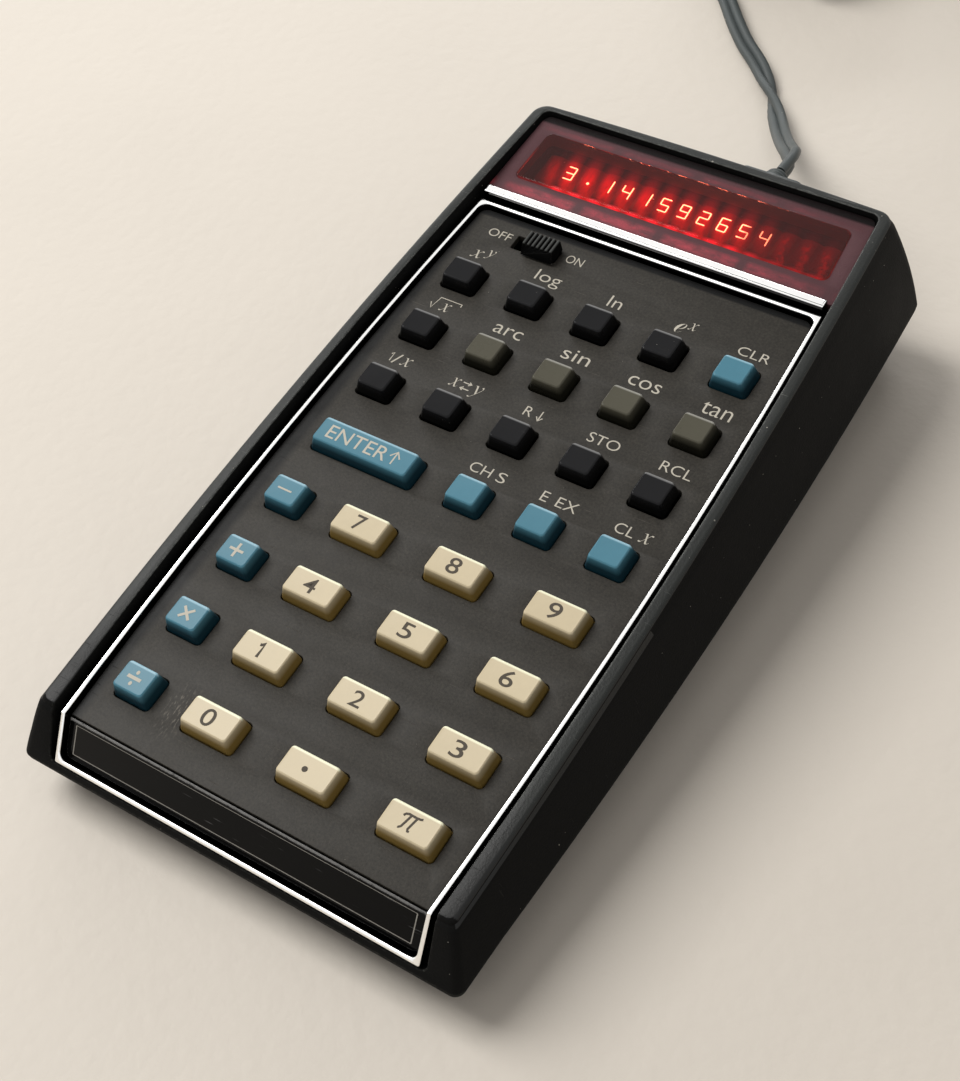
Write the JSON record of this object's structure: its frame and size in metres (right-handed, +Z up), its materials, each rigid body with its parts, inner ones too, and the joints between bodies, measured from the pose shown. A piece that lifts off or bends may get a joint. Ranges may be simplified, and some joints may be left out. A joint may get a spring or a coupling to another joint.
{
  "type": "pocket calculator",
  "caption": "Wedge-shaped pocket calculator with a sloping keyboard that folds over its front edge, a red LED display, a hinged battery door and a plug-in charger lead.",
  "frame": {"origin": "on the floor, under the middle of the calculator without its charger lead", "axes": "+X to the right across the keyboard, +Y towards the display and the rear, +Z up"},
  "size_m": [0.1086, 0.3076, 0.046],
  "materials": {
    "case_black": "matte, finely textured",
    "plate_grey": "satin",
    "chrome": "bright",
    "window_red": "gloss, dark red",
    "key_black": "gloss",
    "key_grey": "satin",
    "key_blue": "satin",
    "key_beige": "satin",
    "board_green": "satin",
    "contact_metal": "bright",
    "lens_clear": "gloss",
    "battery_wrap": "satin",
    "foot_rubber": "matte",
    "cord_grey": "satin",
    "pin_metal": "nickel plated"
  },
  "bodies": {
    "case": {"top_case": "case_black", "bottom_case": "case_black", "display_window": "window_red", "display_trim": "chrome", "key_frame": "chrome", "key_plate": "plate_grey", "front_plate": "plate_grey", "keyboard_board": "board_green", "contact_sheet": "contact_metal", "logic_board": "board_green", "display_board": "board_green", "display_lens": "lens_clear", "charger_socket": "case_black", "front_foot_left": "foot_rubber", "front_foot_right": "foot_rubber"},
    "key_x_to_y": {"key_x_to_y": "key_black"},
    "key_log": {"key_log": "key_black"},
    "key_ln": {"key_ln": "key_black"},
    "key_e_to_x": {"key_e_to_x": "key_black"},
    "key_clr": {"key_clr": "key_blue"},
    "key_sqrt": {"key_sqrt": "key_black"},
    "key_arc": {"key_arc": "key_grey"},
    "key_sin": {"key_sin": "key_grey"},
    "key_cos": {"key_cos": "key_grey"},
    "key_tan": {"key_tan": "key_grey"},
    "key_one_over_x": {"key_one_over_x": "key_black"},
    "key_swap": {"key_swap": "key_black"},
    "key_roll_down": {"key_roll_down": "key_black"},
    "key_sto": {"key_sto": "key_black"},
    "key_rcl": {"key_rcl": "key_black"},
    "key_enter": {"key_enter": "key_blue"},
    "key_chs": {"key_chs": "key_blue"},
    "key_eex": {"key_eex": "key_blue"},
    "key_clx": {"key_clx": "key_blue"},
    "key_minus": {"key_minus": "key_blue"},
    "key_7": {"key_7": "key_beige"},
    "key_8": {"key_8": "key_beige"},
    "key_9": {"key_9": "key_beige"},
    "key_plus": {"key_plus": "key_blue"},
    "key_4": {"key_4": "key_beige"},
    "key_5": {"key_5": "key_beige"},
    "key_6": {"key_6": "key_beige"},
    "key_times": {"key_times": "key_blue"},
    "key_1": {"key_1": "key_beige"},
    "key_2": {"key_2": "key_beige"},
    "key_3": {"key_3": "key_beige"},
    "key_divide": {"key_divide": "key_blue"},
    "key_0": {"key_0": "key_beige"},
    "key_point": {"key_point": "key_beige"},
    "key_pi": {"key_pi": "key_beige"},
    "power_switch": {"power_switch": "key_black"},
    "battery_door": {"battery_door": "case_black", "battery_pack": "battery_wrap"},
    "latch_left": {"latch_left": "foot_rubber"},
    "latch_right": {"latch_right": "foot_rubber"},
    "charger_lead": {"charger_plug": "cord_grey", "cord": "cord_grey", "cord_coil": "cord_grey", "charger_block": "cord_grey", "charger_pins": "pin_metal"}
  },
  "joints": [
    {"name": "key_x_to_y_press", "type": "slide", "parent": "case", "child": "key_x_to_y", "axis": [0, 0.1043, -0.9945], "range_m": [0, 0.0012], "stiffness_N_per_m": 500},
    {"name": "key_log_press", "type": "slide", "parent": "case", "child": "key_log", "axis": [0, 0.1043, -0.9945], "range_m": [0, 0.0012], "stiffness_N_per_m": 500},
    {"name": "key_ln_press", "type": "slide", "parent": "case", "child": "key_ln", "axis": [0, 0.1043, -0.9945], "range_m": [0, 0.0012], "stiffness_N_per_m": 500},
    {"name": "key_e_to_x_press", "type": "slide", "parent": "case", "child": "key_e_to_x", "axis": [0, 0.1043, -0.9945], "range_m": [0, 0.0012], "stiffness_N_per_m": 500},
    {"name": "key_clr_press", "type": "slide", "parent": "case", "child": "key_clr", "axis": [0, 0.1043, -0.9945], "range_m": [0, 0.0012], "stiffness_N_per_m": 500},
    {"name": "key_sqrt_press", "type": "slide", "parent": "case", "child": "key_sqrt", "axis": [0, 0.1043, -0.9945], "range_m": [0, 0.0012], "stiffness_N_per_m": 500},
    {"name": "key_arc_press", "type": "slide", "parent": "case", "child": "key_arc", "axis": [0, 0.1043, -0.9945], "range_m": [0, 0.0012], "stiffness_N_per_m": 500},
    {"name": "key_sin_press", "type": "slide", "parent": "case", "child": "key_sin", "axis": [0, 0.1043, -0.9945], "range_m": [0, 0.0012], "stiffness_N_per_m": 500},
    {"name": "key_cos_press", "type": "slide", "parent": "case", "child": "key_cos", "axis": [0, 0.1043, -0.9945], "range_m": [0, 0.0012], "stiffness_N_per_m": 500},
    {"name": "key_tan_press", "type": "slide", "parent": "case", "child": "key_tan", "axis": [0, 0.1043, -0.9945], "range_m": [0, 0.0012], "stiffness_N_per_m": 500},
    {"name": "key_one_over_x_press", "type": "slide", "parent": "case", "child": "key_one_over_x", "axis": [0, 0.1043, -0.9945], "range_m": [0, 0.0012], "stiffness_N_per_m": 500},
    {"name": "key_swap_press", "type": "slide", "parent": "case", "child": "key_swap", "axis": [0, 0.1043, -0.9945], "range_m": [0, 0.0012], "stiffness_N_per_m": 500},
    {"name": "key_roll_down_press", "type": "slide", "parent": "case", "child": "key_roll_down", "axis": [0, 0.1043, -0.9945], "range_m": [0, 0.0012], "stiffness_N_per_m": 500},
    {"name": "key_sto_press", "type": "slide", "parent": "case", "child": "key_sto", "axis": [0, 0.1043, -0.9945], "range_m": [0, 0.0012], "stiffness_N_per_m": 500},
    {"name": "key_rcl_press", "type": "slide", "parent": "case", "child": "key_rcl", "axis": [0, 0.1043, -0.9945], "range_m": [0, 0.0012], "stiffness_N_per_m": 500},
    {"name": "key_enter_press", "type": "slide", "parent": "case", "child": "key_enter", "axis": [0, 0.1043, -0.9945], "range_m": [0, 0.0012], "stiffness_N_per_m": 500},
    {"name": "key_chs_press", "type": "slide", "parent": "case", "child": "key_chs", "axis": [0, 0.1043, -0.9945], "range_m": [0, 0.0012], "stiffness_N_per_m": 500},
    {"name": "key_eex_press", "type": "slide", "parent": "case", "child": "key_eex", "axis": [0, 0.1043, -0.9945], "range_m": [0, 0.0012], "stiffness_N_per_m": 500},
    {"name": "key_clx_press", "type": "slide", "parent": "case", "child": "key_clx", "axis": [0, 0.1043, -0.9945], "range_m": [0, 0.0012], "stiffness_N_per_m": 500},
    {"name": "key_minus_press", "type": "slide", "parent": "case", "child": "key_minus", "axis": [0, 0.1043, -0.9945], "range_m": [0, 0.0012], "stiffness_N_per_m": 500},
    {"name": "key_7_press", "type": "slide", "parent": "case", "child": "key_7", "axis": [0, 0.1043, -0.9945], "range_m": [0, 0.0012], "stiffness_N_per_m": 500},
    {"name": "key_8_press", "type": "slide", "parent": "case", "child": "key_8", "axis": [0, 0.1043, -0.9945], "range_m": [0, 0.0012], "stiffness_N_per_m": 500},
    {"name": "key_9_press", "type": "slide", "parent": "case", "child": "key_9", "axis": [0, 0.1043, -0.9945], "range_m": [0, 0.0012], "stiffness_N_per_m": 500},
    {"name": "key_plus_press", "type": "slide", "parent": "case", "child": "key_plus", "axis": [0, 0.1043, -0.9945], "range_m": [0, 0.0012], "stiffness_N_per_m": 500},
    {"name": "key_4_press", "type": "slide", "parent": "case", "child": "key_4", "axis": [0, 0.1043, -0.9945], "range_m": [0, 0.0012], "stiffness_N_per_m": 500},
    {"name": "key_5_press", "type": "slide", "parent": "case", "child": "key_5", "axis": [0, 0.1043, -0.9945], "range_m": [0, 0.0012], "stiffness_N_per_m": 500},
    {"name": "key_6_press", "type": "slide", "parent": "case", "child": "key_6", "axis": [0, 0.1043, -0.9945], "range_m": [0, 0.0012], "stiffness_N_per_m": 500},
    {"name": "key_times_press", "type": "slide", "parent": "case", "child": "key_times", "axis": [0, 0.1043, -0.9945], "range_m": [0, 0.0012], "stiffness_N_per_m": 500},
    {"name": "key_1_press", "type": "slide", "parent": "case", "child": "key_1", "axis": [0, 0.1043, -0.9945], "range_m": [0, 0.0012], "stiffness_N_per_m": 500},
    {"name": "key_2_press", "type": "slide", "parent": "case", "child": "key_2", "axis": [0, 0.1043, -0.9945], "range_m": [0, 0.0012], "stiffness_N_per_m": 500},
    {"name": "key_3_press", "type": "slide", "parent": "case", "child": "key_3", "axis": [0, 0.1043, -0.9945], "range_m": [0, 0.0012], "stiffness_N_per_m": 500},
    {"name": "key_divide_press", "type": "slide", "parent": "case", "child": "key_divide", "axis": [0, 0.1043, -0.9945], "range_m": [0, 0.0012], "stiffness_N_per_m": 500},
    {"name": "key_0_press", "type": "slide", "parent": "case", "child": "key_0", "axis": [0, 0.1043, -0.9945], "range_m": [0, 0.0012], "stiffness_N_per_m": 500},
    {"name": "key_point_press", "type": "slide", "parent": "case", "child": "key_point", "axis": [0, 0.1043, -0.9945], "range_m": [0, 0.0012], "stiffness_N_per_m": 500},
    {"name": "key_pi_press", "type": "slide", "parent": "case", "child": "key_pi", "axis": [0, 0.1043, -0.9945], "range_m": [0, 0.0012], "stiffness_N_per_m": 500},
    {"name": "power_switch_slide", "type": "slide", "parent": "case", "child": "power_switch", "axis": [-1, 0, 0], "range_m": [0, 0.00265]},
    {"name": "battery_door_hinge", "type": "hinge", "parent": "case", "child": "battery_door", "pos_m": [0, 0.0249, 0.002], "axis": [-1, 0, 0], "range_deg": [0, 60]},
    {"name": "latch_left_slide", "type": "slide", "parent": "battery_door", "child": "latch_left", "axis": [1, 0, 0], "range_m": [0, 0.0024]},
    {"name": "latch_right_slide", "type": "slide", "parent": "battery_door", "child": "latch_right", "axis": [-1, 0, 0], "range_m": [0, 0.0024]},
    {"name": "charger_plug_pull", "type": "slide", "parent": "case", "child": "charger_lead", "axis": [0, 1, 0], "range_m": [0, 0.008]}
  ]
}
